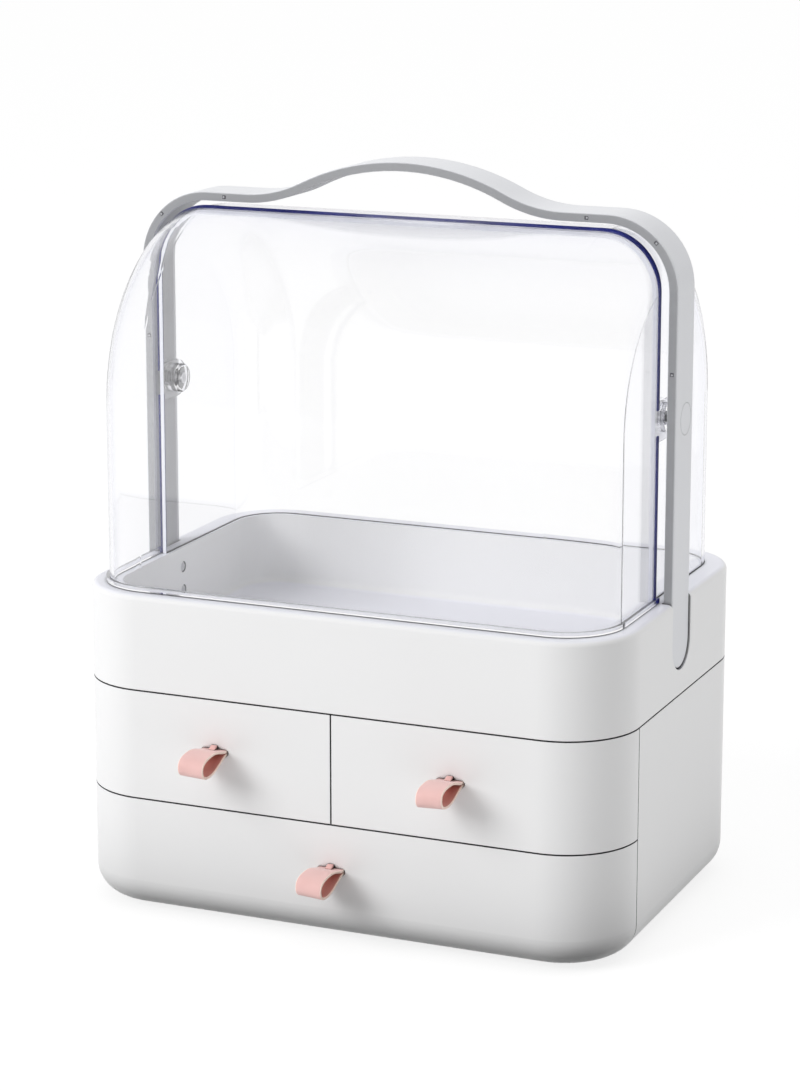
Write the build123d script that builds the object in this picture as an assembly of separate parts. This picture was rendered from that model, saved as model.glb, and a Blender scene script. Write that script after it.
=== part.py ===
"""Dustproof makeup organizer: a three-drawer cabinet, a deep tray, two clear domed covers and a carrying handle.

Millimetres, +Z up, the front faces -Y and X runs to the right. The origin is on the surface that the organizer
stands on, below the middle of the cabinet. The front cover turns about an X axis through both handle posts.
"""
import os
from math import cos, pi, sin, atan2

from build123d import *

# Cabinet
WIDTH = 300.0            # across X
DEPTH = 212.0            # across Y, without the pull tabs
CORNER_R = 39.0          # upright corners
EDGE_R = 16.0            # round along the bottom edge
SKIN = 2.5               # moulded wall of the cabinet, tray and drawer fronts
SEAM = 0.8               # shadow gap between the outer pieces
SEAT = 0.3               # gap at which fixed pieces sit on each other
LOWER_H = 60.5           # lower drawer front
UPPER_H = 57.3           # upper drawer fronts
PANEL_T = 2.0            # shelf, divider, deck and drawer-front flanges
RIB_D = 3.0              # depth of the ribs that carry the shelf and the deck
RIB_T = 2.0

# Feet
FOOT_H = 1.5             # rubber below the cabinet
FOOT_R = 8.0
FOOT_SINK = 1.0          # depth of each foot's pocket in the cabinet floor
FOOT_IN_X = 35.0         # from the cabinet's side
FOOT_IN_Y = 28.0         # from the cabinet's back
FOOT_FRONT = 15.0        # behind the drawer fronts

# Tray
TRAY_H = 50.1
RIM_W = 16.0             # from the outside to the tray's well
RIM_R = 3.0              # round along the outer top edge
WELL_DEPTH = 40.0
WELL_R = 4.0             # round along the well's floor
FLOOR_T = 2.4
LEDGE_T = 3.0            # top wall of the hollow rim
CHANNEL_DEPTH = 1.2      # groove in the ledge that holds the rear cover
BOSS_R = 4.5
BOSS_IN_X = 55.0         # from the tray's side
BOSS_IN_Y = 61.0         # from the tray's front and back

# Clear covers
COVER_WALL = 2.0
COVER_IN_X = 9.6         # front cover's outside from the tray's side
COVER_IN_Y = 8.2         # and from the tray's front
COVER_CORNER = 30.0
PIVOT_RISE = 93.0        # pivot axis above the ledge
FRONT_EDGE_Y = -15.5     # where the front cover ends at the back
LAP = 3.5                # length by which the rear cover reaches under the front one
NEST_GAP = 0.6           # rear cover's outside to front cover's inside
COVER_LIFT = 0.4         # front cover's foot above the ledge
LIP_OUT = 1.8            # foot along the front cover's lower edge
LIP_H = 2.4
EAR_R = 10.0
HUB_R = 7.7

# Pivots
PIN_R = 3.0
PIN_RUN = 0.05           # running clearance round each pin
PIN_HEAD_R = 5.5
PIN_HEAD_T = 1.1
CAP_R = 8.2
CAP_T = 1.2
CAP_GAP = 0.15
BUTTON_T = 2.4
BUTTON_SKIN = 0.9        # closed end of the button over the pin

# Handle
HANDLE_IN = 0.8          # posts' outside from the tray's side
HANDLE_GAP = 1.2         # below the shoulders, to the front cover's dome
STRAP_W = 27.0
STRAP_Y = -2.5           # strap's middle, from the pivot axis
STRAP_T = 4.6
STRAP_SKIN = 2.4         # web of the outer channel
STRAP_FLANGE = 2.3       # sides of the outer channel
STRAP_ROUND = 0.8
LINER_GAP = 0.1
HANDLE_CORNER = 38.0
SHOULDER_LEN = 23.2      # straight run on top of each shoulder
GRIP_RISE = 20.6
GRIP_R = 128.0           # crown of the grip, on its outside
POST_DEPTH = 36.4        # length of post that stands in the tray's groove
GROOVE_GAP = 0.8

# Drawers
BOX_WALL = 1.8
BOX_SIDE_GAP = 1.0       # between a drawer box and the cabinet wall or divider
BOX_STANDOFF = 6.0       # from a front's inside to the box's front wall
BOX_REAR = 14.0          # from the cabinet's back to the boxes
BOX_RUN = 0.4            # below a box
BOX_HEADROOM = 1.4       # above a box
BOX_EDGE_GAP = 0.5       # at the lower box's rounded bottom edge
BOX_FLOOR_R = 3.0        # round inside the upper boxes, along the floor

# Pull tabs
TAB_SHIFT = 10.0         # upper pulls from their fronts' middles, towards the divider
TAB_UPPER = 30.2         # slot above an upper front's lower edge
TAB_LOWER = 36.6         # slot above the lower front's lower edge
TAB_W = 14.0
TAB_T = 1.3
TAB_REACH = 27.4         # how far the loop stands out
TAB_LOOP = 11.8          # height of the loop
TAB_NECK = 1.5           # where the leaves part
TAB_SWELL = 14.0         # where they are furthest apart
TAB_BEND_R = 14.0
TAB_NOSE_R = 5.0
TAB_LEAF_GAP = 0.2
SLOT_W = 15.6
SLOT_H = 3.7
KEEPER_W = 21.0
KEEPER_H = 9.0
KEEPER_T = 4.6
KEEPER_GAP = 0.2         # between the strap and the keeper's slot
TONGUE_W = 3.4
TONGUE_H = 1.7
TONGUE_OUT = 0.9

# Screws
SCREW_R = 1.25
SCREW_HEAD_R = 2.7
SCREW_HEAD_T = 1.6
SCREW_LEN = 8.0
PILOT_GAP = 0.05
THROUGH_GAP = 0.4
FRONT_SCREW_LEN = 5.5
FRONT_SCREW_X = 42.0     # lower front's screws, from its pull
FRONT_SCREW_IN = 21.0    # upper fronts' inner screws, from the box's inner side
FRONT_SCREW_OUT = 4.0    # and outer screws, from the start of the box's corner
FRONT_BOSS_R = 3.2
HANDLE_SCREW_LEN = 10.5
HANDLE_SCREWS = (12.4, 25.4)   # above the posts' ends

# Places that follow from the sizes above
SIDE = WIDTH / 2
BACK = DEPTH / 2
BODY_Z0 = FOOT_H
LOWER_Z1 = BODY_Z0 + LOWER_H
UPPER_Z0 = LOWER_Z1 + SEAM
UPPER_Z1 = UPPER_Z0 + UPPER_H
TRAY_Z0 = UPPER_Z1 + SEAM
TRAY_Z1 = TRAY_Z0 + TRAY_H
WELL_Z0 = TRAY_Z1 - WELL_DEPTH
SPLIT_Y = CORNER_R - BACK
SHELL_Y0 = SPLIT_Y + SEAM
SHELF_Z0 = (LOWER_Z1 + UPPER_Z0 - PANEL_T) / 2
SHELF_Z1 = SHELF_Z0 + PANEL_T
DECK_Z0 = UPPER_Z1 - PANEL_T
BOX_HALF = SIDE - SKIN - BOX_SIDE_GAP
BOX_CORNER = CORNER_R - SKIN - BOX_SIDE_GAP
BOX_FRONT_Y = SKIN + BOX_STANDOFF - BACK
BOX_REAR_Y = BACK - BOX_REAR
BOX_CLEAR = SEAT + RIB_T + BOX_HEADROOM
LOWER_BOX_Z = (BODY_Z0 + SKIN + BOX_RUN, SHELF_Z0 - BOX_CLEAR)
UPPER_BOX_Z = (SHELF_Z1 + BOX_RUN, DECK_Z0 - BOX_CLEAR)
UPPER_BOX_X0 = PANEL_T / 2 + BOX_SIDE_GAP
TAB_X = WIDTH / 4 - TAB_SHIFT
PIVOT_Z = TRAY_Z1 + PIVOT_RISE
COVER_HALF = SIDE - COVER_IN_X
COVER_R = BACK - COVER_IN_Y
COVER_Z0 = TRAY_Z1 + COVER_LIFT
REAR_HALF = COVER_HALF - COVER_WALL - NEST_GAP
REAR_R = COVER_R - COVER_WALL - NEST_GAP
REAR_CORNER = COVER_CORNER - COVER_WALL - NEST_GAP
REAR_EDGE_Y = FRONT_EDGE_Y - LAP
CHANNEL_Z = TRAY_Z1 - CHANNEL_DEPTH
HANDLE_HALF = SIDE - HANDLE_IN
POST_INNER = HANDLE_HALF - STRAP_T
LINER_FACE = HANDLE_HALF - STRAP_SKIN - LINER_GAP
LINER_W = STRAP_W - 2 * STRAP_FLANGE - 2 * LINER_GAP
SHOULDER_Z = PIVOT_Z + COVER_R + HANDLE_GAP + STRAP_T
SHOULDER_X = HANDLE_HALF - HANDLE_CORNER - SHOULDER_LEN
POST_END_Z = TRAY_Z1 - POST_DEPTH
SCREW_SEAT_X = SIDE - RIM_W + SCREW_HEAD_T + SEAT
FAR = 500.0              # beyond the object on every side
OVER = 1.0               # length by which a cut runs past a face


def block(x, y, z):
    """Box between the two limits given for each axis."""
    spans = [(min(limits), max(limits)) for limits in (x, y, z)]
    size = [high - low for low, high in spans]
    centre = [(low + high) / 2 for low, high in spans]
    return Pos(*centre) * Box(*size)


def rod_x(radius, x0, x1, y, z):
    """Cylinder along X."""
    return Pos((x0 + x1) / 2, y, z) * Rot(0, 90, 0) * Cylinder(radius, abs(x1 - x0))


def rod_y(radius, y0, y1, x, z):
    """Cylinder along Y."""
    return Pos(x, (y0 + y1) / 2, z) * Rot(90, 0, 0) * Cylinder(radius, abs(y1 - y0))


def rod_z(radius, z0, z1, x, y):
    """Cylinder along Z."""
    return Pos(x, y, (z0 + z1) / 2) * Cylinder(radius, abs(z1 - z0))


def group(shapes):
    """Several loose solids that share one node."""
    return Compound(children=[shape.solid() for shape in shapes])


def rounded_plate(half_x, half_y, radius, z0, z1):
    """Upright prism with rounded corners, centred on the Z axis."""
    return Pos(0, 0, z0) * extrude(RectangleRounded(2 * half_x, 2 * half_y, radius), z1 - z0)


def plan(inset, z0, z1):
    """Prism of the cabinet's outline, drawn in by an inset."""
    return rounded_plate(SIDE - inset, BACK - inset, CORNER_R - inset, z0, z1)


def rounded_body(inset, z0, z1):
    """The same prism with the cabinet's rounded bottom edge."""
    body = plan(inset, z0, z1)
    return fillet(body.edges().group_by(Axis.Z)[0], EDGE_R - inset)


def behind(shape, y):
    """The part of a shape behind a Y level."""
    return shape & block((-FAR, FAR), (y, FAR), (-FAR, FAR))


def before(shape, y):
    """The part of a shape before a Y level."""
    return shape & block((-FAR, FAR), (-FAR, y), (-FAR, FAR))


# Cabinet -------------------------------------------------------------------------------------------------------

def foot_places():
    """Centres of the four feet."""
    rows = (SHELL_Y0 + FOOT_FRONT, BACK - FOOT_IN_Y)
    return [(side * (SIDE - FOOT_IN_X), y) for side in (-1, 1) for y in rows]


def screw_places():
    """Centres of the four screws between the deck and the tray."""
    return [(x * (SIDE - BOSS_IN_X), y * (BACK - BOSS_IN_Y)) for x in (-1, 1) for y in (-1, 1)]


def cabinet_shell():
    """Sides, back and floor in one piece, with ribs for the shelf and the deck."""
    shell = rounded_body(0, BODY_Z0, UPPER_Z1) - rounded_body(SKIN, BODY_Z0 + SKIN, FAR)
    for top in (SHELF_Z0 - SEAT, DECK_Z0 - SEAT):
        shell += plan(SKIN / 2, top - RIB_T, top) - plan(SKIN + RIB_D, top - RIB_T - OVER, top + OVER)
    for x, y in foot_places():
        shell -= rod_z(FOOT_R + SEAT, 0, BODY_Z0 + FOOT_SINK, x, y)
    return behind(shell, SHELL_Y0)


def mid_shelf():
    """Plate between the lower and the upper drawers."""
    return behind(plan(SKIN + SEAT, SHELF_Z0, SHELF_Z1), SHELL_Y0)


def centre_divider():
    """Upright plate between the two upper drawers."""
    rear = BACK - SKIN - RIB_D - SEAT
    return block((-PANEL_T / 2, PANEL_T / 2), (SHELL_Y0, rear), (SHELF_Z1 + SEAT, DECK_Z0 - SEAT))


def cabinet_deck():
    """Top plate that the tray is screwed to."""
    deck = behind(plan(SKIN + SEAT, DECK_Z0, UPPER_Z1), SHELL_Y0)
    for x, y in screw_places():
        deck -= rod_z(SCREW_R + THROUGH_GAP, DECK_Z0 - OVER, UPPER_Z1 + OVER, x, y)
    return deck


def rubber_feet():
    """Four round feet in their pockets."""
    return group([rod_z(FOOT_R, 0, BODY_Z0 + FOOT_SINK, x, y) for x, y in foot_places()])


# Tray ----------------------------------------------------------------------------------------------------------

def post_groove(side):
    """Groove for one handle post, round at its foot and open at the top."""
    half = STRAP_W / 2 + GROOVE_GAP
    inner = side * (POST_INNER - GROOVE_GAP)
    outer = side * (SIDE + OVER)
    foot_z = POST_END_Z + STRAP_W / 2
    straight = block((inner, outer), (STRAP_Y - half, STRAP_Y + half), (foot_z, FAR))
    return straight + rod_x(half, inner, outer, STRAP_Y, foot_z)


def rim_hollow():
    """Hollow between the tray's outer wall and its well, stopped at the post grooves."""
    hollow = plan(SKIN, -FAR, TRAY_Z1 - LEDGE_T) - plan(RIM_W - SKIN, -FAR - OVER, FAR)
    half = STRAP_W / 2 + GROOVE_GAP + SKIN
    for side in (-1, 1):
        stop = block((side * (SIDE - RIM_W), side * SIDE), (-half, half), (-FAR - OVER, FAR))
        hollow -= Pos(0, STRAP_Y, 0) * stop
    return hollow


def rear_channel():
    """Groove in the ledge under the rear cover's edge."""
    outer = SEAT
    inner = COVER_WALL + SEAT
    channel = rounded_plate(REAR_HALF + outer, REAR_R + outer, REAR_CORNER + outer, CHANNEL_Z, FAR)
    channel -= rounded_plate(REAR_HALF - inner, REAR_R - inner, REAR_CORNER - inner, 0, FAR + OVER)
    return behind(channel, REAR_EDGE_Y - SEAT)


def tray():
    """Deep tray with a ledge for the covers and a groove for each handle post."""
    body = plan(0, TRAY_Z0, TRAY_Z1)
    body = fillet(body.edges().group_by(Axis.Z)[-1], RIM_R)
    well = plan(RIM_W, WELL_Z0, TRAY_Z1 + OVER)
    body -= fillet(well.edges().group_by(Axis.Z)[0], WELL_R)
    body -= plan(SKIN, -FAR, WELL_Z0 - FLOOR_T)
    body -= rim_hollow()
    body -= rear_channel()
    for x, y in screw_places():
        body += rod_z(BOSS_R, UPPER_Z1 + SEAT, WELL_Z0 - FLOOR_T, x, y)
        body -= rod_z(SCREW_R + PILOT_GAP, UPPER_Z1, WELL_Z0 - FLOOR_T, x, y)
    for side in (-1, 1):
        body -= post_groove(side)
        mouth = side * (SIDE - RIM_W - OVER)
        for rise in HANDLE_SCREWS:
            z = POST_END_Z + rise
            body -= rod_x(SCREW_R + THROUGH_GAP, mouth, side * SIDE, STRAP_Y, z)
            body -= rod_x(SCREW_HEAD_R + SEAT, mouth, side * SCREW_SEAT_X, STRAP_Y, z)
    return body


def screw(length):
    """Pan-head screw along Z: its head lies below the origin and its shank above."""
    head = Pos(0, 0, -SCREW_HEAD_T / 2) * Cylinder(SCREW_HEAD_R, SCREW_HEAD_T)
    head = fillet(head.edges().group_by(Axis.Z)[0], SCREW_HEAD_T / 3)
    return head + Pos(0, 0, length / 2) * Cylinder(SCREW_R, length)


def tray_screws():
    """Screws from under the deck into the tray's bosses."""
    return group([Pos(x, y, DECK_Z0) * screw(SCREW_LEN) for x, y in screw_places()])


def handle_screws():
    """Screws from the tray's well into the handle posts."""
    places = [(side, rise) for side in (-1, 1) for rise in HANDLE_SCREWS]
    spots = [Pos(side * SCREW_SEAT_X, STRAP_Y, POST_END_Z + rise) * Rot(0, side * 90, 0) for side, rise in places]
    return group([spot * screw(HANDLE_SCREW_LEN) for spot in spots])


# Covers --------------------------------------------------------------------------------------------------------

def dome(half, reach, corner, z0):
    """Closed form over the tray: straight walls up to the pivot axis, then a barrel with rounded ends."""
    flat_x = half - corner
    flat_z = reach - corner
    slant = corner * (1 - cos(pi / 4))
    profile = [
        Line((-half, 0), (-half, flat_z)),
        ThreePointArc((-half, flat_z), (slant - half, reach - slant), (-flat_x, reach)),
        Line((-flat_x, reach), (flat_x, reach)),
        ThreePointArc((flat_x, reach), (half - slant, reach - slant), (half, flat_z)),
        Line((half, flat_z), (half, 0)),
        Line((half, 0), (-half, 0)),
    ]
    barrel = Pos(0, 0, PIVOT_Z) * revolve(Plane.XZ * make_face(profile), Axis.X)
    top = barrel & block((-FAR, FAR), (-FAR, FAR), (PIVOT_Z, FAR))
    return top + rounded_plate(half, reach, corner, z0, PIVOT_Z)


def dome_shell(half, reach, corner, z0):
    """Dome with an even wall, open below."""
    inside = dome(half - COVER_WALL, reach - COVER_WALL, corner - COVER_WALL, z0 - OVER)
    return dome(half, reach, corner, z0) - inside


def cover_lip():
    """Foot along the front cover's lower edge."""
    half, reach, corner = COVER_HALF + LIP_OUT, COVER_R + LIP_OUT, COVER_CORNER + LIP_OUT
    inset = LIP_OUT + COVER_WALL / 2
    lip = rounded_plate(half, reach, corner, COVER_Z0, COVER_Z0 + LIP_H)
    return lip - rounded_plate(half - inset, reach - inset, corner - inset, 0, FAR)


def front_cover():
    """Clear front cover with a foot along its lower edge and a hinge ear and hub on each side."""
    cover = before(dome_shell(COVER_HALF, COVER_R, COVER_CORNER, COVER_Z0) + cover_lip(), FRONT_EDGE_Y)
    for side in (-1, 1):
        inner = side * (COVER_HALF - COVER_WALL)
        outer = side * COVER_HALF
        cover += rod_x(EAR_R, inner, outer, 0, PIVOT_Z)
        cover += block((inner, outer), (FRONT_EDGE_Y - OVER, 0), (PIVOT_Z - EAR_R, PIVOT_Z + EAR_R))
        cover += rod_x(HUB_R, inner, side * (POST_INNER - SEAT), 0, PIVOT_Z)
        cover -= rod_x(PIN_R + PIN_RUN, inner - side * OVER, side * SIDE, 0, PIVOT_Z)
    return cover


def rear_cover():
    """Clear rear cover, one size smaller, standing in the tray's channel and pinned at both pivots."""
    cover = behind(dome_shell(REAR_HALF, REAR_R, REAR_CORNER, CHANNEL_Z + SEAT), REAR_EDGE_Y)
    return cover - rod_x(PIN_R + PIN_RUN, -FAR, FAR, 0, PIVOT_Z)


# Pivots --------------------------------------------------------------------------------------------------------

def pivot_pin(side):
    """Shouldered pin from the handle post through both covers into the button."""
    head_end = side * (LINER_FACE + PIN_HEAD_T)
    tip = side * (REAR_HALF - COVER_WALL - SEAT - BUTTON_T + BUTTON_SKIN + PIN_RUN)
    return rod_x(PIN_HEAD_R, side * LINER_FACE, head_end, 0, PIVOT_Z) + rod_x(PIN_R, tip, head_end, 0, PIVOT_Z)


def pivot_cap(side):
    """Flush cap over a pin's head, on the outside of the post."""
    return rod_x(CAP_R, side * (HANDLE_HALF - CAP_T), side * HANDLE_HALF, 0, PIVOT_Z)


def pivot_button(side):
    """Domed button on a pin's inner end."""
    outer = side * (REAR_HALF - COVER_WALL - SEAT)
    inner = outer - side * BUTTON_T
    button = rod_x(HUB_R, inner, outer, 0, PIVOT_Z)
    rim = button.edges().group_by(Axis.X)[0 if side > 0 else -1]
    button = fillet(rim, BUTTON_T / 2)
    return button - rod_x(PIN_R + PIN_RUN, inner + side * BUTTON_SKIN, outer + side * OVER, 0, PIVOT_Z)


# Handle --------------------------------------------------------------------------------------------------------

def arc_about(centre, radius, start, end):
    """Arc about a centre between two angles in radians."""
    angles = (start, (start + end) / 2, end)
    return ThreePointArc(*[(centre[0] + radius * cos(a), centre[1] + radius * sin(a)) for a in angles])


def arch_curve(depth):
    """The handle's outline at a depth below its outer face, from the right post to the left one."""
    quarter = pi / 2
    bend = 2 * atan2(GRIP_RISE, SHOULDER_X)
    valley_r = SHOULDER_X / sin(bend) - GRIP_R
    corner = (HANDLE_HALF - HANDLE_CORNER, SHOULDER_Z - HANDLE_CORNER)
    valley = (SHOULDER_X, SHOULDER_Z + valley_r)
    crown = (0, SHOULDER_Z + valley_r - (valley_r + GRIP_R) * cos(bend))
    post_x = HANDLE_HALF - depth
    top = SHOULDER_Z - depth
    right = [
        Line((post_x, POST_END_Z - STRAP_T), (post_x, corner[1])),
        arc_about(corner, HANDLE_CORNER - depth, 0, quarter),
        Line((corner[0], top), (SHOULDER_X, top)),
        arc_about(valley, valley_r + depth, -quarter, -quarter - bend),
    ]
    left = [mirror(edge, Plane.YZ) for edge in reversed(right)]
    return right + [arc_about(crown, GRIP_R - depth, quarter - bend, quarter + bend)] + left


def strap(depth0, depth1, width):
    """The part of the arch between two depths and of a given width, with rounded post ends."""
    low = POST_END_Z - STRAP_T
    ends = [Line((x * (HANDLE_HALF - depth0), low), (x * (HANDLE_HALF - depth1), low)) for x in (-1, 1)]
    section = make_face(arch_curve(depth0) + arch_curve(depth1) + ends)
    arch = extrude(Plane.XZ * section, amount=width / 2, both=True)
    round_z = POST_END_Z + STRAP_W / 2
    keep = block((-FAR, FAR), (-width / 2, width / 2), (round_z, FAR)) + rod_x(width / 2, -FAR, FAR, 0, round_z)
    return Pos(0, STRAP_Y, 0) * (arch & keep)


def outer_rim(body):
    """Edges that run round the handle's outer face."""
    curve = arch_curve(0)
    rim = []
    for edge in body.edges().filter_by(Axis.Y, reverse=True):
        middle = edge @ 0.5
        if min(part.distance_to(Vertex(middle.X, middle.Z, 0)) for part in curve) < PILOT_GAP:
            rim.append(edge)
    return rim


def handle_outer():
    """Outer channel of the handle, with seats for the pivot caps and pin heads."""
    body = strap(0, STRAP_T, STRAP_W)
    body = fillet(outer_rim(body), STRAP_ROUND)
    body -= strap(STRAP_SKIN, STRAP_T + OVER, STRAP_W - 2 * STRAP_FLANGE)
    for side in (-1, 1):
        body -= rod_x(CAP_R + CAP_GAP, side * (HANDLE_HALF - CAP_T), side * FAR, 0, PIVOT_Z)
        body -= rod_x(PIN_HEAD_R + SEAT, side * POST_INNER, side * FAR, 0, PIVOT_Z)
    return body


def handle_liner():
    """Inner strip that closes the channel, drilled for the pins and the handle screws."""
    liner = strap(STRAP_SKIN + LINER_GAP, STRAP_T, LINER_W)
    for side in (-1, 1):
        start = side * (POST_INNER - OVER)
        liner -= rod_x(PIN_R + PIN_RUN, start, side * SIDE, 0, PIVOT_Z)
        for rise in HANDLE_SCREWS:
            liner -= rod_x(SCREW_R + PILOT_GAP, start, side * SIDE, STRAP_Y, POST_END_Z + rise)
    return liner


# Drawers -------------------------------------------------------------------------------------------------------

def box_form(x, z, inset):
    """Prism of a drawer box, drawn in by an inset, with rounded corners next to the cabinet's sides."""
    form = block((x[0] + inset, x[1] - inset), (BOX_FRONT_Y + inset, BOX_REAR_Y - inset), z)
    for limit, outer_x in ((x[0], x[0] + inset), (x[1], x[1] - inset)):
        if abs(limit) < BOX_HALF:
            continue
        for outer_y in (BOX_FRONT_Y + inset, BOX_REAR_Y - inset):
            upright = form.edges().filter_by(Axis.Z).sort_by_distance(Vertex(outer_x, outer_y, z[0]))[0]
            form = fillet(upright, BOX_CORNER - inset)
    return form


def drawer_box(x, z, floor_r, inner_floor_r, screw_x, screw_z):
    """Open drawer box with two holes in its front wall."""
    form = box_form(x, z, 0)
    if floor_r > 0:
        form = fillet(form.edges().group_by(Axis.Z)[0], floor_r)
    inside = box_form(x, (z[0] + BOX_WALL, z[1] + OVER), BOX_WALL)
    form -= fillet(inside.edges().group_by(Axis.Z)[0], inner_floor_r)
    for centre in screw_x:
        form -= rod_y(SCREW_R + THROUGH_GAP, BOX_FRONT_Y - OVER, BOX_FRONT_Y + 2 * BOX_WALL, centre, screw_z)
    return form


def upper_box(side):
    """Box of one upper drawer."""
    x = sorted((side * UPPER_BOX_X0, side * BOX_HALF))
    return drawer_box(x, UPPER_BOX_Z, 0, BOX_FLOOR_R, front_screw_x(side * TAB_X), UPPER_Z0 + TAB_UPPER)


def lower_box():
    """Box of the lower drawer, rounded along its bottom edge like the cabinet."""
    floor_r = EDGE_R - SKIN - BOX_EDGE_GAP
    x = (-BOX_HALF, BOX_HALF)
    return drawer_box(x, LOWER_BOX_Z, floor_r, floor_r - BOX_WALL, front_screw_x(0), BODY_Z0 + TAB_LOWER)


def front_screw_x(pull_x):
    """X places of the two screws that hold a drawer front."""
    if pull_x == 0:
        return (-FRONT_SCREW_X, FRONT_SCREW_X)
    inner = UPPER_BOX_X0 + FRONT_SCREW_IN
    outer = BOX_HALF - BOX_CORNER - FRONT_SCREW_OUT
    return (inner, outer) if pull_x > 0 else (-outer, -inner)


def finish_front(panel, pull_x, pull_z):
    """Cut the pull's slot and add the two screw bosses inside."""
    outside = -BACK
    inside = SKIN - BACK
    straight = SLOT_W - SLOT_H
    y = (outside - OVER, inside + OVER)
    panel -= block((pull_x - straight / 2, pull_x + straight / 2), y, (pull_z - SLOT_H / 2, pull_z + SLOT_H / 2))
    for side in (-1, 1):
        panel -= rod_y(SLOT_H / 2, *y, pull_x + side * straight / 2, pull_z)
    notch_half = TONGUE_W / 2 + KEEPER_GAP
    panel -= block((pull_x - notch_half, pull_x + notch_half), y, (pull_z, tongue_z(pull_z)[1] + KEEPER_GAP))
    for centre in front_screw_x(pull_x):
        panel += rod_y(FRONT_BOSS_R, inside - SKIN / 2, BOX_FRONT_Y - SEAT, centre, pull_z)
        panel -= rod_y(SCREW_R + PILOT_GAP, inside, BOX_FRONT_Y, centre, pull_z)
    return panel


def upper_front(side):
    """Front of one upper drawer, wrapped round the cabinet's corner."""
    panel = plan(0, UPPER_Z0, UPPER_Z1)
    middle = side * SEAM / 2
    pocket = plan(SKIN, UPPER_Z0 + PANEL_T, UPPER_Z1 - PANEL_T)
    panel -= pocket & block((middle + side * PANEL_T, side * FAR), (-FAR, FAR), (-FAR, FAR))
    x = sorted((side * UPPER_BOX_X0, side * BOX_HALF))
    panel -= box_form(x, (UPPER_Z0 - OVER, UPPER_Z1 + OVER), -SEAT)
    panel = before(panel, SPLIT_Y) & block((middle, side * FAR), (-FAR, FAR), (-FAR, FAR))
    return finish_front(panel, side * TAB_X, UPPER_Z0 + TAB_UPPER)


def lower_front():
    """Front of the lower drawer with the cabinet's rounded bottom edge."""
    panel = rounded_body(0, BODY_Z0, LOWER_Z1) - rounded_body(SKIN, BODY_Z0 + SKIN, LOWER_Z1 - PANEL_T)
    panel -= box_form((-BOX_HALF, BOX_HALF), (LOWER_Z1 - PANEL_T - OVER, LOWER_Z1 + OVER), -SEAT)
    return finish_front(before(panel, SPLIT_Y), 0, BODY_Z0 + TAB_LOWER)


def front_screws(pull_x, pull_z):
    """Two screws from inside a box into its front."""
    seat_y = BOX_FRONT_Y + BOX_WALL
    spots = [Pos(x, seat_y, pull_z) * Rot(90, 0, 0) for x in front_screw_x(pull_x)]
    return group([spot * screw(FRONT_SCREW_LEN) for spot in spots])


# Pull tabs -----------------------------------------------------------------------------------------------------

def tongue_z(pull_z):
    """Lower and upper level of the small tongue above a strap."""
    low = pull_z + TAB_LEAF_GAP / 2 + TAB_T + KEEPER_GAP
    return (low, low + TONGUE_H)


def pull_tab(pull_x, pull_z):
    """Folded strap: two leaves through the slot and a round loop in front of it."""
    leaf = (TAB_LEAF_GAP + TAB_T) / 2
    swell = (TAB_LOOP - TAB_T) / 2
    upper = [
        (SKIN + SEAT + KEEPER_T, leaf),
        (-TAB_NECK, leaf),
        (-TAB_SWELL, swell),
        (TAB_T / 2 - TAB_REACH, swell),
    ]
    points = upper + [(y, -z) for y, z in reversed(upper)]
    radii = [TAB_BEND_R, TAB_BEND_R, TAB_NOSE_R]
    path = FilletPolyline(*points, radius=radii + radii[::-1])
    plane = Plane(origin=(pull_x, -BACK, pull_z), x_dir=(0, 1, 0), z_dir=(1, 0, 0))
    wire = plane * path
    section = Plane(origin=wire @ 0, x_dir=(1, 0, 0), z_dir=wire % 0) * Rectangle(TAB_W, TAB_T)
    return sweep(section, wire)


def tab_keeper(pull_x, pull_z):
    """Block behind a drawer front that grips both leaves, with a tongue through the front."""
    y0 = SKIN + SEAT - BACK
    half_w = KEEPER_W / 2
    half_h = KEEPER_H / 2
    keeper = block((pull_x - half_w, pull_x + half_w), (y0, y0 + KEEPER_T), (pull_z - half_h, pull_z + half_h))
    slot_w = TAB_W / 2 + KEEPER_GAP
    slot_h = TAB_LEAF_GAP / 2 + TAB_T + KEEPER_GAP
    slot_y = (y0 - OVER, y0 + KEEPER_T + OVER)
    keeper -= block((pull_x - slot_w, pull_x + slot_w), slot_y, (pull_z - slot_h, pull_z + slot_h))
    half_t = TONGUE_W / 2
    return keeper + block((pull_x - half_t, pull_x + half_t), (-BACK - TONGUE_OUT, y0 + OVER), tongue_z(pull_z))


# Nodes ---------------------------------------------------------------------------------------------------------

def fixed_nodes():
    """Everything that stays put."""
    nodes = {
        "cabinet_shell": cabinet_shell(),
        "mid_shelf": mid_shelf(),
        "centre_divider": centre_divider(),
        "cabinet_deck": cabinet_deck(),
        "rubber_feet": rubber_feet(),
        "tray": tray(),
        "tray_screws": tray_screws(),
        "handle_outer": handle_outer(),
        "handle_liner": handle_liner(),
        "handle_screws": handle_screws(),
        "rear_cover": rear_cover(),
    }
    for name, side in (("left", -1), ("right", 1)):
        nodes["pivot_pin_" + name] = pivot_pin(side)
        nodes["pivot_cap_" + name] = pivot_cap(side)
        nodes["pivot_button_" + name] = pivot_button(side)
    return nodes


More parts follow.
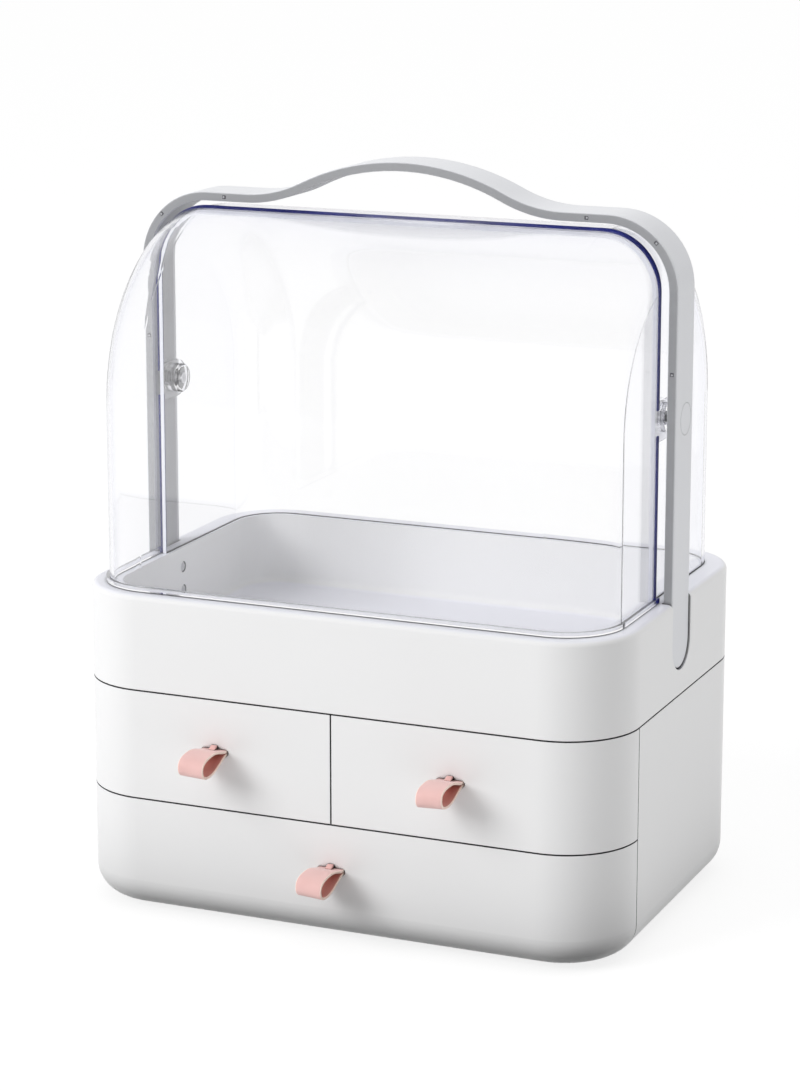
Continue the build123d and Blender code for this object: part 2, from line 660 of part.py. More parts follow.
def drawer_nodes():
    """The pieces of the three drawers."""
    drawers = {
        "upper_left": (upper_front(-1), upper_box(-1), -TAB_X, UPPER_Z0 + TAB_UPPER),
        "upper_right": (upper_front(1), upper_box(1), TAB_X, UPPER_Z0 + TAB_UPPER),
        "lower": (lower_front(), lower_box(), 0, BODY_Z0 + TAB_LOWER),
    }
    nodes = {}
    for name, (front, box, pull_x, pull_z) in drawers.items():
        nodes["drawer_front_" + name] = front
        nodes["drawer_box_" + name] = box
        nodes["front_screws_" + name] = front_screws(pull_x, pull_z)
        nodes["pull_tab_" + name] = pull_tab(pull_x, pull_z)
        nodes["tab_keeper_" + name] = tab_keeper(pull_x, pull_z)
    return nodes


def main():
    """Build every node and write one STEP file for each."""
    os.makedirs("parts", exist_ok=True)
    nodes = fixed_nodes() | {"front_cover": front_cover()} | drawer_nodes()
    for name, shape in nodes.items():
        export_step(shape, f"parts/{name}.step")
    print(len(nodes), "nodes")


main()
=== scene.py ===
"""Looks of the makeup organizer: its finishes, strap pulls and small details, and the studio around it.

Lengths are in metres unless a name ends in _mm. +Z is up and -Y faces the drawers' user, as in the
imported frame.
"""
from __future__ import annotations

import logging
import math
from dataclasses import dataclass
from enum import Enum
from typing import Any, Iterable, Sequence

import bmesh
import bpy
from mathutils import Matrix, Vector


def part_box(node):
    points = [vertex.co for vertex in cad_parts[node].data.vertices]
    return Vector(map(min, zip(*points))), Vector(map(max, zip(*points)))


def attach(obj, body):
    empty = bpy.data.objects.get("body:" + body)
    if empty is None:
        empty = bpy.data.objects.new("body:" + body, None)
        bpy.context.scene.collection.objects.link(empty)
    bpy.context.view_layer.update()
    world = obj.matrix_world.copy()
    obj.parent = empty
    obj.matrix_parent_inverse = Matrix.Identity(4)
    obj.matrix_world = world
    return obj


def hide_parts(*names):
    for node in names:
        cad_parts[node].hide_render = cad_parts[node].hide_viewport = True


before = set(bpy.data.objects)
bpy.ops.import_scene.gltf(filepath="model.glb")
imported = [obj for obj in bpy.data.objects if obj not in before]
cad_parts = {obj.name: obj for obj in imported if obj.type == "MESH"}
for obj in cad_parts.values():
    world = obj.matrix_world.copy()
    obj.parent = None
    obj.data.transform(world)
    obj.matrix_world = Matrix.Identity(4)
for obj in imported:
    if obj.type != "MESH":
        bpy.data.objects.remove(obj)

MM = 0.001
LOG = logging.getLogger("organizer")

Colour = tuple[float, float, float]
Point = tuple[float, float, float]
Pair = tuple[float, float]
Socket = bpy.types.NodeSocket

PLASTIC_IOR = 1.49
TONE_RANGE: Pair = (0.35, 0.65)          # wave levels between which the darker tone goes over to the lighter
# colour of the painted shade in seams and gaps
PAINTED_GAP_SHADE: Colour = (0.012, 0.012, 0.014)
WHITE: Colour = (1.0, 1.0, 1.0)
QUARTERS = ((1, 1), (-1, 1), (-1, -1), (1, -1))
CORNER_STEPS = 4
SAME_LEVEL = 0.001 * MM                  # two points closer in height than this are level


class Body(Enum):
    """The bodies that pieces ride on."""

    BASE = "base"
    FRONT_COVER = "front_cover_body"
    UPPER_LEFT = "drawer_left"
    UPPER_RIGHT = "drawer_right"
    LOWER = "drawer_lower"


class StrapSide(Enum):
    """The sides of a strap, as indices of its materials."""

    SKIN = 0
    EDGE = 1
    BACK = 2


class Slot(Enum):
    """Names of material slots for the new pieces' finishes."""

    HANDLE = "handle_plastic"
    CLEAR = "clear_plastic"
    STRAP = "pink_strap"
    KEEPER = "pink_keeper"


# Node trees ---------------------------------------------------------------------------------------

class Sheet:
    """A node tree with short ways to add nodes and join them."""

    def __init__(self, tree: bpy.types.NodeTree) -> None:
        """Take over an empty tree.

        Args:
            tree: The material's, world's or group's node tree.
        """
        self.tree = tree

    def add(self, kind: str, **settings: Any) -> bpy.types.Node:
        """Add a node.

        Args:
            kind: The node's type name without the ShaderNode prefix.
            settings: Properties of the node.

        Returns:
            The new node.
        """
        prefix = "" if kind.startswith("NodeGroup") else "ShaderNode"
        node = self.tree.nodes.new(prefix + kind)
        for name, value in settings.items():
            setattr(node, name, value)
        return node

    def put(self, node: bpy.types.Node, **inputs: Any) -> bpy.types.Node:
        """Set or join a node's inputs.

        Args:
            node: The node whose inputs are set.
            inputs: Input names with underscores for spaces, and a value or a socket for each.

        Returns:
            The same node.
        """
        for name, value in inputs.items():
            socket = node.inputs[name.replace("_", " ")]
            self.feed(socket, value)
        return node

    def feed(self, socket: Socket, value: Any) -> None:
        """Give a socket a value, a colour or a link.

        Args:
            socket: The input socket.
            value: A number, a colour, a vector or another node's output.
        """
        if isinstance(value, Socket):
            self.tree.links.new(value, socket)
        elif socket.type == "RGBA" and len(value) == 3:
            socket.default_value = (*value, 1.0)
        else:
            socket.default_value = value

    def math(self, operation: str, *values: Any, clamp: bool = False) -> Socket:
        """Combine values with a Math node.

        Args:
            operation: The node's operation, such as MULTIPLY.
            values: Up to three numbers or sockets.
            clamp: Whether the result is kept between 0 and 1.

        Returns:
            The node's output.
        """
        node = self.add("Math", operation=operation, use_clamp=clamp)
        for socket, value in zip(node.inputs, values):
            self.feed(socket, value)
        return node.outputs[0]

    def mix(self, factor: Any, first: Any, second: Any) -> Socket:
        """Mix two colours.

        Args:
            factor: 0 for the first colour, 1 for the second.
            first: A colour or socket.
            second: A colour or socket.

        Returns:
            The mixed colour.
        """
        node = self.add("Mix", data_type="RGBA")
        self.feed(node.inputs["Factor"], factor)
        self.feed(node.inputs[6], first)
        self.feed(node.inputs[7], second)
        return node.outputs[2]

    def place(self, stretch: Point = (1.0, 1.0, 1.0)) -> Socket:
        """The point on the piece, in metres, stretched along the axes.

        Args:
            stretch: Factors for X, Y and Z.

        Returns:
            A vector socket.
        """
        spot = self.add("TexCoord").outputs["Object"]
        node = self.add("Mapping")
        self.put(node, Vector=spot, Scale=stretch)
        return node.outputs[0]

    def noise(self, vector: Any, size: float, detail: float = 2.0, rough: float = 0.5) -> Socket:
        """Noise with features of a given size.

        Args:
            vector: Where the noise is read.
            size: Typical size of a feature, in metres.
            detail: Octaves.
            rough: Strength of the finer octaves.

        Returns:
            A value around 0.5.
        """
        node = self.add("TexNoise")
        self.put(node, Vector=vector, Scale=1.0 / size, Detail=detail, Roughness=rough)
        return node.outputs["Fac"]

    def remap(self, value: Any, low: float, high: float, start: float, end: float) -> Socket:
        """Map a range of values to another, without going past its ends.

        Args:
            value: The socket that is mapped.
            low: Input that gives start.
            high: Input that gives end.
            start: First output value.
            end: Last output value.

        Returns:
            The mapped value.
        """
        node = self.add("MapRange")
        for socket, given in zip(node.inputs, (value, low, high, start, end)):
            self.feed(socket, given)
        return node.outputs[0]

    def group(self, shared: bpy.types.NodeTree, **inputs: Any) -> bpy.types.Node:
        """Place a shared node group.

        Args:
            shared: The group's tree.
            inputs: Its inputs.

        Returns:
            The group node.
        """
        node = self.add("Group", node_tree=shared)
        return self.put(node, **inputs)

    def bump(self, height: Any, strength: float, distance: float, normal: Any = None) -> Socket:
        """Turn a height into a normal.

        Args:
            height: Height socket.
            strength: Share of the bump that is used.
            distance: Height of the bump, in metres.
            normal: Normal that the bump is added to.

        Returns:
            The bumped normal.
        """
        node = self.add("Bump")
        self.put(node, Height=height, Strength=strength, Distance=distance)
        if normal is not None:
            self.feed(node.inputs["Normal"], normal)
        return node.outputs[0]


class SharedEffects:
    """Node groups that several finishes use, each built once.

    Attributes:
        wave_share: Share of the slow waves in the moulded height; the fine grain has the rest.
        streaks: Stretch of the hairlines in each of their two directions.
        streak_edge: Noise levels between which a hairline begins.
        patch_size: Size of the areas that are rubbed or bare.
        patch_edge: Noise levels between which a rubbed area begins.
        gap_shut: Openness at which a gap is fully dark.
        gap_open: Openness at which a face has no shade left.
        samples: Rays of the bevel and of the gap shade.
    """

    wave_share: float = 0.6
    streaks: tuple[Point, ...] = ((8.0, 300.0, 40.0), (260.0, 20.0, 9.0))
    streak_edge: Pair = (0.66, 0.74)
    patch_size: float = 50.0 * MM
    patch_edge: Pair = (0.45, 0.7)
    gap_shut: float = 0.36
    gap_open: float = 0.74
    samples: int = 6

    def __init__(self) -> None:
        """Build every group."""
        self.grain = self._grain()
        self.scuffs = self._scuffs()
        self.edge = self._edge()
        self.painted_gap_shade = self._painted_gap_shade()

    @staticmethod
    def _new(
        name: str, inputs: Sequence[tuple[str, float]], outputs: Sequence[str]
    ) -> tuple[Sheet, bpy.types.Node, bpy.types.Node]:
        """Start a group with float inputs.

        Args:
            name: The group's name.
            inputs: Name and default value of each input.
            outputs: Name of each output; one called Normal is a vector.

        Returns:
            The sheet, the group's input node and its output node.
        """
        tree = bpy.data.node_groups.new(name, "ShaderNodeTree")
        for label, value in inputs:
            socket = tree.interface.new_socket(label, in_out="INPUT", socket_type="NodeSocketFloat")
            socket.default_value = value
        for label in outputs:
            kind = "NodeSocketVector" if label == "Normal" else "NodeSocketFloat"
            tree.interface.new_socket(label, in_out="OUTPUT", socket_type=kind)
        sheet = Sheet(tree)
        return sheet, sheet.add("NodeGroupInput"), sheet.add("NodeGroupOutput")

    def _grain(self) -> bpy.types.NodeTree:
        """Moulded surface: a fine spark-eroded grain over slow waves from cooling.

        Returns:
            The group, with outputs Height, Tone and Roughness.
        """
        inputs = (("Grain", 1800.0), ("Waves", 14.0), ("Roughness", 0.4), ("Spread", 0.08))
        sheet, given, result = self._new("moulded_grain", inputs, ("Height", "Tone", "Roughness"))
        spot = sheet.add("TexCoord").outputs["Object"]
        fine = sheet.add("TexNoise")
        sheet.put(fine, Vector=spot, Scale=given.outputs["Grain"], Detail=3.0, Roughness=0.6)
        slow = sheet.add("TexNoise")
        sheet.put(slow, Vector=spot, Scale=given.outputs["Waves"], Detail=1.0, Roughness=0.4)
        waves = slow.outputs["Fac"]
        sparks = sheet.math("MULTIPLY", fine.outputs["Fac"], 1.0 - self.wave_share)
        height = sheet.math("MULTIPLY_ADD", waves, self.wave_share, sparks)
        swing = sheet.math("SUBTRACT", waves, 0.5)
        rough = sheet.math("MULTIPLY_ADD", swing, given.outputs["Spread"], given.outputs["Roughness"])
        sheet.feed(result.inputs["Height"], height)
        sheet.feed(result.inputs["Tone"], waves)
        sheet.feed(result.inputs["Roughness"], rough)
        return sheet.tree

    def _scuffs(self) -> bpy.types.NodeTree:
        """Hairline rubs from wiping, as sparse thin streaks in two directions.

        Returns:
            The group, with output Mask.
        """
        sheet, given, result = self._new("hairline_scuffs", (("Amount", 0.5),), ("Mask",))
        lines = []
        for stretch in self.streaks:
            drawn = sheet.noise(sheet.place(stretch), size=1.0, detail=2.0, rough=0.7)
            lines.append(sheet.remap(drawn, *self.streak_edge, 0.0, 1.0))
        areas = sheet.noise(sheet.place(), size=self.patch_size)
        patches = sheet.remap(areas, *self.patch_edge, 0.0, 1.0)
        rubs = sheet.math("MULTIPLY", sheet.math("MAXIMUM", *lines), patches)
        mask = sheet.math("MULTIPLY", rubs, given.outputs["Amount"], clamp=True)
        sheet.feed(result.inputs["Mask"], mask)
        return sheet.tree

    def _edge(self) -> bpy.types.NodeTree:
        """Small round that every moulded edge has.

        Returns:
            The group, with output Normal.
        """
        sheet, given, result = self._new("soft_edge", (("Radius", 0.4 * MM),), ("Normal",))
        round_off = sheet.add("Bevel", samples=self.samples)
        sheet.feed(round_off.inputs["Radius"], given.outputs["Radius"])
        sheet.feed(result.inputs["Normal"], round_off.outputs[0])
        return sheet.tree

    def _painted_gap_shade(self) -> bpy.types.NodeTree:
        """Painted shade in seams, slots and narrow gaps, read from ambient occlusion.

        Returns:
            The group, with output Mask: 1 deep in a gap and 0 on an open face.
        """
        inputs = (("Distance", 3.0 * MM), ("Amount", 1.0))
        sheet, given, result = self._new("gap_shade", inputs, ("Mask",))
        hidden = sheet.add("AmbientOcclusion", samples=self.samples)
        sheet.feed(hidden.inputs["Distance"], given.outputs["Distance"])
        depth = sheet.remap(hidden.outputs["AO"], self.gap_shut, self.gap_open, 1.0, 0.0)
        mask = sheet.math("MULTIPLY", depth, given.outputs["Amount"], clamp=True)
        sheet.feed(result.inputs["Mask"], mask)
        return sheet.tree


# Finishes -----------------------------------------------------------------------------------------

def new_material(name: str) -> tuple[bpy.types.Material, Sheet, bpy.types.Node]:
    """Start a material with a Principled shader.

    Args:
        name: The material's name.

    Returns:
        The material, its sheet and the shader node.
    """
    material = bpy.data.materials.new(name)
    material.use_nodes = True
    tree = material.node_tree
    return material, Sheet(tree), tree.nodes["Principled BSDF"]


@dataclass(frozen=True)
class MouldedPlastic:
    """Opaque injection-moulded plastic.

    Attributes:
        name: The material's name.
        colour: Its lighter tone.
        shade: Its darker tone, in slow waves.
        roughness: Middle of the roughness.
        spread: How far the roughness swings.
        coat: Weight of the polished skin.
        coat_roughness: Roughness of that skin.
        edge_radius: Round of every edge.
        grain_depth: Depth of the moulded grain.
        grain_share: Strength of the grain in the normal.
        scuffed: Amount of hairline rubs.
        rubbed: Roughness that a rub adds.
        cheek: Tone of the faces that look to the front or the back, if it differs.
        cheek_round: Round over which that tone begins.
        cheek_facing: How squarely a face looks there, where the tone begins and is full.
        top: Painted light on the faces that look up, a cooler and lighter tone, if it differs.
        painted_top_facing: How squarely a face looks up, where the tone begins and is full.
        gap: Amount of painted shade in seams and gaps.
    """

    name: str
    colour: Colour
    shade: Colour
    roughness: float = 0.36
    spread: float = 0.12
    coat: float = 0.0
    coat_roughness: float = 0.08
    edge_radius: float = 0.5 * MM
    grain_depth: float = 0.012 * MM
    grain_share: float = 0.35
    scuffed: float = 0.5
    rubbed: float = 0.15
    cheek: Colour | None = None
    cheek_round: float = 0.8 * MM
    cheek_facing: Pair = (0.72, 0.99)
    top: Colour | None = None
    painted_top_facing: Pair = (0.6, 0.98)
    gap: float = 1.0

    def build(self, effects: SharedEffects) -> bpy.types.Material:
        """Make the material.

        Args:
            effects: The shared node groups.

        Returns:
            The material.
        """
        material, sheet, shader = new_material(self.name)
        grain = sheet.group(effects.grain, Roughness=self.roughness, Spread=self.spread)
        scuffs = sheet.group(effects.scuffs, Amount=self.scuffed).outputs["Mask"]
        edge = sheet.group(effects.edge, Radius=self.edge_radius).outputs["Normal"]
        tone = sheet.remap(grain.outputs["Tone"], *TONE_RANGE, 0.0, 1.0)
        colour = sheet.mix(tone, self.shade, self.colour)
        facing = sheet.add("SeparateXYZ")
        if self.cheek:
            turned = sheet.group(effects.edge, Radius=self.cheek_round).outputs["Normal"]
            sheet.feed(facing.inputs[0], turned)
            squarely = sheet.math("ABSOLUTE", facing.outputs["Y"])
            cheeks = sheet.remap(squarely, *self.cheek_facing, 0.0, 1.0)
            colour = sheet.mix(cheeks, colour, self.cheek)
        # painted light: faces that look up take a cooler, lighter tone
        if self.top:
            sheet.feed(facing.inputs[0], sheet.add("TexCoord").outputs["Normal"])
            above = sheet.remap(facing.outputs["Z"], *self.painted_top_facing, 0.0, 1.0)
            colour = sheet.mix(above, colour, self.top)
        # painted shade: seams and gaps darkened by ambient occlusion
        gaps = sheet.group(effects.painted_gap_shade, Amount=self.gap).outputs["Mask"]
        colour = sheet.mix(gaps, colour, PAINTED_GAP_SHADE)
        rough = sheet.math("MULTIPLY_ADD", scuffs, self.rubbed, grain.outputs["Roughness"])
        normal = sheet.bump(grain.outputs["Height"], self.grain_share, self.grain_depth, edge)
        sheet.put(shader, Base_Color=colour, Roughness=rough, Normal=normal, Coat_Weight=self.coat)
        shader.inputs["IOR"].default_value = PLASTIC_IOR
        shader.inputs["Coat Roughness"].default_value = self.coat_roughness
        return material


@dataclass(frozen=True)
class ClearSheet:
    """Clear moulded plastic with a faint tint where it is seen edge on.

    Attributes:
        name: The material's name.
        body: Tone where it is seen face on.
        rim: Tone where it is seen edge on.
        rim_power: How narrow the edge-on tone is.
        roughness: Roughness of a clean place.
        specular: Strength of its gloss.
        scuffed: Amount of hairline rubs.
        rubbed: Roughness that a rub adds.
        shadow: Share of the light that it lets through.
    """

    name: str
    body: Colour
    rim: Colour
    rim_power: float = 3.0
    roughness: float = 0.015
    specular: float = 0.2
    scuffed: float = 0.6
    rubbed: float = 0.12
    shadow: float = 0.98

    def build(self, effects: SharedEffects) -> bpy.types.Material:
        """Make the material.

        Args:
            effects: The shared node groups.

        Returns:
            The material.
        """
        material, sheet, shader = new_material(self.name)
        weight = sheet.add("LayerWeight")
        weight.inputs["Blend"].default_value = 0.5
        edge_on = sheet.math("POWER", weight.outputs["Facing"], self.rim_power)
        colour = sheet.mix(edge_on, self.body, self.rim)
        scuffs = sheet.group(effects.scuffs, Amount=self.scuffed).outputs["Mask"]
        rough = sheet.math("MULTIPLY_ADD", scuffs, self.rubbed, self.roughness)
        sheet.put(shader, Base_Color=colour, Roughness=rough)
        shader.inputs["IOR"].default_value = PLASTIC_IOR
        shader.inputs["Transmission Weight"].default_value = 1.0
        shader.inputs["Specular IOR Level"].default_value = self.specular
        clear = sheet.add("BsdfTransparent")
        sheet.feed(clear.inputs[0], self.body)
        blend = sheet.add("MixShader")
        ray = sheet.add("LightPath").outputs["Is Shadow Ray"]
        sheet.feed(blend.inputs[0], sheet.math("MULTIPLY", ray, self.shadow))
        sheet.feed(blend.inputs[1], shader.outputs[0])
        sheet.feed(blend.inputs[2], clear.outputs[0])
        sheet.feed(material.node_tree.nodes["Material Output"].inputs["Surface"], blend.outputs[0])
        return material


@dataclass(frozen=True)
class TintedRim:
    """Tint of a clear sheet's cut edge, which gathers light from the whole sheet.

    Attributes:
        name: The material's name.
        deep: Its darker tone.
        bright: Its lighter tone.
        roughness: Roughness of a clean place.
        specular: Strength of its gloss.
        streak: Size of the light and dark streaks.
        streak_stretch: Stretch of the streaks along each axis.
        streak_edge: Noise levels between which a light streak begins.
        scuffed: Amount of hairline rubs.
        rubbed: Roughness that a rub adds.
    """

    name: str
    deep: Colour
    bright: Colour
    roughness: float = 0.3
    specular: float = 0.2
    streak: float = 20.0 * MM
    streak_stretch: Point = (1.0, 1.0, 0.3)
    streak_edge: Pair = (0.4, 0.65)
    scuffed: float = 0.4
    rubbed: float = 0.2

    def build(self, effects: SharedEffects) -> bpy.types.Material:
        """Make the material.

        Args:
            effects: The shared node groups.

        Returns:
            The material.
        """
        material, sheet, shader = new_material(self.name)
        streaks = sheet.noise(sheet.place(self.streak_stretch), size=self.streak, detail=3.0)
        colour = sheet.mix(sheet.remap(streaks, *self.streak_edge, 0.0, 1.0), self.deep, self.bright)
        scuffs = sheet.group(effects.scuffs, Amount=self.scuffed).outputs["Mask"]
        rough = sheet.math("MULTIPLY_ADD", scuffs, self.rubbed, self.roughness)
        sheet.put(shader, Base_Color=colour, Roughness=rough)
        shader.inputs["IOR"].default_value = PLASTIC_IOR
        shader.inputs["Specular IOR Level"].default_value = self.specular
        return material


@dataclass(frozen=True)
class SoftStrap:
    """Soft coated strap with a fine pebbled skin.

    Attributes:
        name: The material's name.
        colour: Its lighter tone.
        shade: Its darker tone, in slow waves.
        roughness: Middle of the roughness.
        spread: How far the roughness swings.
        waves: Slow waves to a metre.
        pebbles: Pebbles to a metre.
        skin_share: Strength of the pebbles in the normal.
        skin_depth: Depth of the pebbles.
        sheen: Weight of the soft sheen.
        sheen_roughness: Roughness of the sheen.
    """

    name: str
    colour: Colour
    shade: Colour
    roughness: float = 0.5
    spread: float = 0.15
    waves: float = 90.0
    pebbles: float = 2600.0
    skin_share: float = 0.5
    skin_depth: float = 0.05 * MM
    sheen: float = 0.25
    sheen_roughness: float = 0.5

    def build(self, effects: SharedEffects) -> bpy.types.Material:
        """Make the material.

        Args:
            effects: The shared node groups.

        Returns:
            The material.
        """
        material, sheet, shader = new_material(self.name)
        cells = sheet.add("TexVoronoi", feature="SMOOTH_F1")
        sheet.put(cells, Vector=sheet.place(), Scale=self.pebbles)
        grain = sheet.group(
            effects.grain, Roughness=self.roughness, Spread=self.spread, Waves=self.waves
        )
        tone = sheet.remap(grain.outputs["Tone"], *TONE_RANGE, 0.0, 1.0)
        colour = sheet.mix(tone, self.shade, self.colour)
        height = sheet.math("ADD", cells.outputs["Distance"], grain.outputs["Height"])
        normal = sheet.bump(height, self.skin_share, self.skin_depth)
        sheet.put(shader, Base_Color=colour, Roughness=grain.outputs["Roughness"], Normal=normal)
        shader.inputs["Sheen Weight"].default_value = self.sheen
        shader.inputs["Sheen Roughness"].default_value = self.sheen_roughness
        return material


@dataclass(frozen=True)
class PlatedSteel:
    """Zinc-plated steel of screws and pins.

    Attributes:
        name: The material's name.
        colour: Its lighter tone.
        shade: Its darker tone, in patches.
        roughness: Middle of the roughness.
        spread: How far the roughness swings.
        patch: Size of the patches.
        waves: Waves to a metre.
        grain: Grain to a metre.
        edge_radius: Round of every edge.
        grain_depth: Depth of the grain.
        grain_share: Strength of the grain in the normal.
    """

    name: str
    colour: Colour
    shade: Colour
    roughness: float = 0.32
    spread: float = 0.2
    patch: float = 0.8 * MM
    waves: float = 700.0
    grain: float = 6000.0
    edge_radius: float = 0.2 * MM
    grain_depth: float = 0.01 * MM
    grain_share: float = 0.4

    def build(self, effects: SharedEffects) -> bpy.types.Material:
        """Make the material.

        Args:
            effects: The shared node groups.

        Returns:
            The material.
        """
        material, sheet, shader = new_material(self.name)
        patches = sheet.noise(sheet.place(), size=self.patch, detail=3.0)
        colour = sheet.mix(sheet.remap(patches, *TONE_RANGE, 0.0, 1.0), self.shade, self.colour)
        grain = sheet.group(
            effects.grain, Roughness=self.roughness, Spread=self.spread, Waves=self.waves, Grain=self.grain
        )
        edge = sheet.group(effects.edge, Radius=self.edge_radius).outputs["Normal"]
        normal = sheet.bump(grain.outputs["Height"], self.grain_share, self.grain_depth, edge)
        sheet.put(shader, Base_Color=colour, Roughness=grain.outputs["Roughness"], Normal=normal)
        shader.inputs["Metallic"].default_value = 1.0
        return material


class Finishes:
    """Every finish of the organizer, each built once."""

    def __init__(self) -> None:
        """Build the materials."""
        effects = SharedEffects()
        # the shell's top tone is painted light on the faces that look up
        self.shell = MouldedPlastic(
            "white_shell", (0.825, 0.825, 0.828), (0.815, 0.815, 0.818), coat=0.1, top=(0.83, 0.835, 0.90)
        ).build(effects)
        self.drawer_box = MouldedPlastic(
            "drawer_white", (0.80, 0.80, 0.805), (0.78, 0.78, 0.785)
        ).build(effects)
        self.handle = MouldedPlastic(
            "handle_grey", (0.73, 0.74, 0.77), (0.71, 0.72, 0.75), roughness=0.3, cheek=(0.35, 0.355, 0.37)
        ).build(effects)
        self.liner = MouldedPlastic(
            "handle_liner_grey", (0.50, 0.505, 0.53), (0.47, 0.475, 0.50), roughness=0.4
        ).build(effects)
        self.clear = ClearSheet("clear_cover", (0.998, 0.998, 1.0), (0.76, 0.77, 0.92)).build(effects)
        self.rim = TintedRim("tinted_rim", (0.011, 0.015, 0.15), (0.019, 0.026, 0.22)).build(effects)
        self.pale_rim = TintedRim("pale_rim", (0.88, 0.89, 0.96), (0.93, 0.935, 0.98)).build(effects)
        # painted shadow: dark plates that stand for the snap windows' openings
        self.notch = MouldedPlastic(
            "notch_shadow", (0.10, 0.10, 0.11), (0.08, 0.08, 0.09), gap=0.5
        ).build(effects)
        self.strap = SoftStrap("strap_skin", (0.83, 0.53, 0.50), (0.79, 0.49, 0.46)).build(effects)
        self.strap_edge = SoftStrap(
            "strap_edge", (1.0, 0.80, 0.70), (0.98, 0.76, 0.66), roughness=0.55, sheen=0.0
        ).build(effects)
        self.strap_back = SoftStrap(
            "strap_back", (0.72, 0.33, 0.28), (0.64, 0.27, 0.22), roughness=0.7
        ).build(effects)
        self.keeper = MouldedPlastic("keeper_pink", (0.80, 0.48, 0.45), (0.77, 0.45, 0.42)).build(effects)
        self.steel = PlatedSteel("plated_steel", (0.66, 0.66, 0.67), (0.50, 0.50, 0.52)).build(effects)
        self.rubber = MouldedPlastic(
            "foot_rubber", (0.55, 0.55, 0.56), (0.50, 0.50, 0.51), roughness=0.75, grain_depth=0.04 * MM
        ).build(effects)


# Meshes -------------------------------------------------------------------------------------------

def dress(name: str, *materials: bpy.types.Material) -> bpy.types.Object:
    """Give a node of the frame its finish.

    Args:
        name: The node.
        materials: Materials for its slots.

    Returns:
        The node's object.
    """
    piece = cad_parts[name]
    piece.data.materials.clear()
    for material in materials:
        piece.data.materials.append(material)
    return piece


def hand_over(
    mesh: bmesh.types.BMesh, name: str, materials: Iterable[bpy.types.Material]
) -> bpy.types.Object:
    """Turn a bmesh into a smooth-shaded object.

    Args:
        mesh: The mesh, freed afterwards.
        name: The object's name.
        materials: Materials for its slots.

    Returns:
        The object.
    """
    bmesh.ops.recalc_face_normals(mesh, faces=mesh.faces)
    data = bpy.data.meshes.new(name)
    mesh.to_mesh(data)
    mesh.free()
    for material in materials:
        data.materials.append(material)
    data.shade_smooth()
    piece = bpy.data.objects.new(name, data)
    bpy.context.scene.collection.objects.link(piece)
    return piece


def settle(piece: bpy.types.Object, body: Body, slot: Slot, *nodes: str) -> None:
    """Make a piece ride on a body and stand for the nodes it replaces.

    Args:
        piece: The new piece.
        body: The body it rides on.
        slot: The slot of its finish; not used.
        nodes: Frame nodes that it replaces.
    """
    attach(piece, body.value)
    if nodes:
        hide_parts(*nodes)


def bezier(start: Pair, pull_a: Pair, pull_b: Pair, end: Pair, steps: int) -> list[Pair]:
    """Points along a cubic curve, without its last point.

    Args:
        start: First point.
        pull_a: Handle of the first point.
        pull_b: Handle of the last point.
        end: Last point.
        steps: Number of points.

    Returns:
        The points.
    """
    corners = (start, pull_a, pull_b, end)
    points: list[Pair] = []
    for k in range(steps):
        t = k / steps
        s = 1.0 - t
        shares = (s ** 3, 3 * s * s * t, 3 * s * t * t, t ** 3)
        across, up = (sum(share * corner[i] for share, corner in zip(shares, corners)) for i in (0, 1))
        points.append((across, up))
    return points


def corner_arc(quarter: int, half: Pair, radius: float) -> list[Pair]:
    """Points of one rounded corner of a rectangle.

    Args:
        quarter: Which corner, counted round from the first quadrant.
        half: Half the rectangle's sides, without the rounding.
        radius: Radius of the corner.

    Returns:
        The corner's points.
    """
    sign_a, sign_b = QUARTERS[quarter]
    points: list[Pair] = []
    for step in range(CORNER_STEPS):
        angle = (quarter + step / (CORNER_STEPS - 1)) * math.pi / 2
        across = sign_a * half[0] + radius * math.cos(angle)
        up = sign_b * half[1] + radius * math.sin(angle)
        points.append((across, up))
    return points


def close_rings(
    mesh: bmesh.types.BMesh, rings: Sequence[Sequence[bmesh.types.BMVert]], strips: Sequence[int], cap: int
) -> None:
    """Join rings of points into a closed skin.

    Args:
        mesh: The mesh that it is added to.
        rings: The rings in order, with as many points each.
        strips: Material index of each strip that runs along the rings.
        cap: Material index of both ends.
    """
    count = len(strips)
    for first, second in zip(rings, rings[1:]):
        for k, finish in enumerate(strips):
            quad = (first[k], first[(k + 1) % count], second[(k + 1) % count], second[k])
            mesh.faces.new(quad).material_index = finish
    for ring in (rings[0], rings[-1]):
        mesh.faces.new(ring).material_index = cap


# Sub-assemblies -----------------------------------------------------------------------------------

@dataclass
class Cabinet:
    """The drawer cabinet, its inner plates and its feet."""

    finishes: Finishes

    def build(self) -> None:
        """Dress the cabinet's nodes."""
        for name in ("cabinet_shell", "mid_shelf", "centre_divider", "cabinet_deck"):
            dress(name, self.finishes.shell)
        dress("rubber_feet", self.finishes.rubber)
        LOG.info("cabinet dressed")


@dataclass
class TopTray:
    """The deep tray."""

    finishes: Finishes

    def build(self) -> None:
        """Dress the tray."""
        dress("tray", self.finishes.shell)
        LOG.info("tray dressed")


